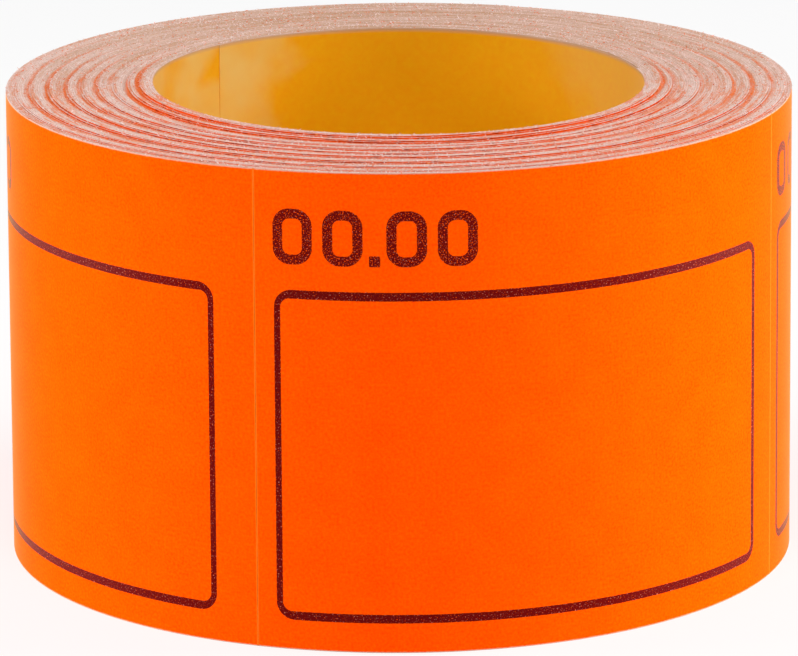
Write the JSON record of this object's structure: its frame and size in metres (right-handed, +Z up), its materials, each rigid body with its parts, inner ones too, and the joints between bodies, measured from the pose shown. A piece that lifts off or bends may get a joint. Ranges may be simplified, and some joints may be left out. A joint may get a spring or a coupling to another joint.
{
  "type": "price label roll",
  "caption": "Coreless roll of self-adhesive price labels: a release liner wound on itself, with die-cut labels that peel off its outer loop.",
  "frame": {"origin": "centre of the open bore, in the plane of the bottom edges that the roll stands on", "axes": "+Z up along the bore; -Y towards the viewer of the picture"},
  "size_m": [0.0669, 0.0671, 0.04],
  "materials": {
    "liner_paper": "smooth amber release coating, satin gloss",
    "label_paper": "matt fluorescent orange coating with a dark printed frame"
  },
  "bodies": {
    "roll": {"liner_roll": "liner_paper", "labels_loop_2": "label_paper", "labels_loop_3": "label_paper", "labels_loop_4": "label_paper", "labels_loop_5": "label_paper", "labels_loop_6": "label_paper", "labels_loop_7": "label_paper", "labels_loop_8": "label_paper", "labels_loop_9": "label_paper", "labels_loop_10": "label_paper", "labels_loop_11": "label_paper", "labels_loop_12": "label_paper", "labels_loop_13": "label_paper", "labels_loop_14": "label_paper", "labels_loop_15": "label_paper", "labels_loop_16": "label_paper", "labels_loop_17": "label_paper", "labels_loop_18": "label_paper", "labels_loop_19": "label_paper", "labels_loop_20": "label_paper", "labels_loop_21": "label_paper", "labels_loop_22": "label_paper", "labels_loop_23": "label_paper"},
    "tail": {"liner_tail": "liner_paper"},
    "label_1": {"label_1": "label_paper"},
    "label_2": {"label_2": "label_paper"},
    "label_3": {"label_3": "label_paper"},
    "label_4": {"label_4": "label_paper"}
  },
  "joints": [
    {"name": "tail_lift", "type": "hinge", "parent": "roll", "child": "tail", "pos_m": [-0.03194, 0.0109, 0.02], "axis": [0, 0, 1], "range_deg": [0, 75], "stiffness_Nm_per_rad": 0.004},
    {"name": "label_1_peel", "type": "hinge", "parent": "tail", "child": "label_1", "pos_m": [-0.03194, 0.0109, 0.02], "axis": [0, 0, 1], "range_deg": [0, 75]},
    {"name": "label_2_peel", "type": "hinge", "parent": "roll", "child": "label_2", "pos_m": [-0.0118, -0.03124, 0.02], "axis": [0, 0, 1], "range_deg": [0, 75]},
    {"name": "label_3_peel", "type": "hinge", "parent": "roll", "child": "label_3", "pos_m": [0.03086, -0.01226, 0.02], "axis": [0, 0, 1], "range_deg": [0, 75]},
    {"name": "label_4_peel", "type": "hinge", "parent": "roll", "child": "label_4", "pos_m": [0.01272, 0.03068, 0.02], "axis": [0, 0, 1], "range_deg": [0, 75]}
  ]
}
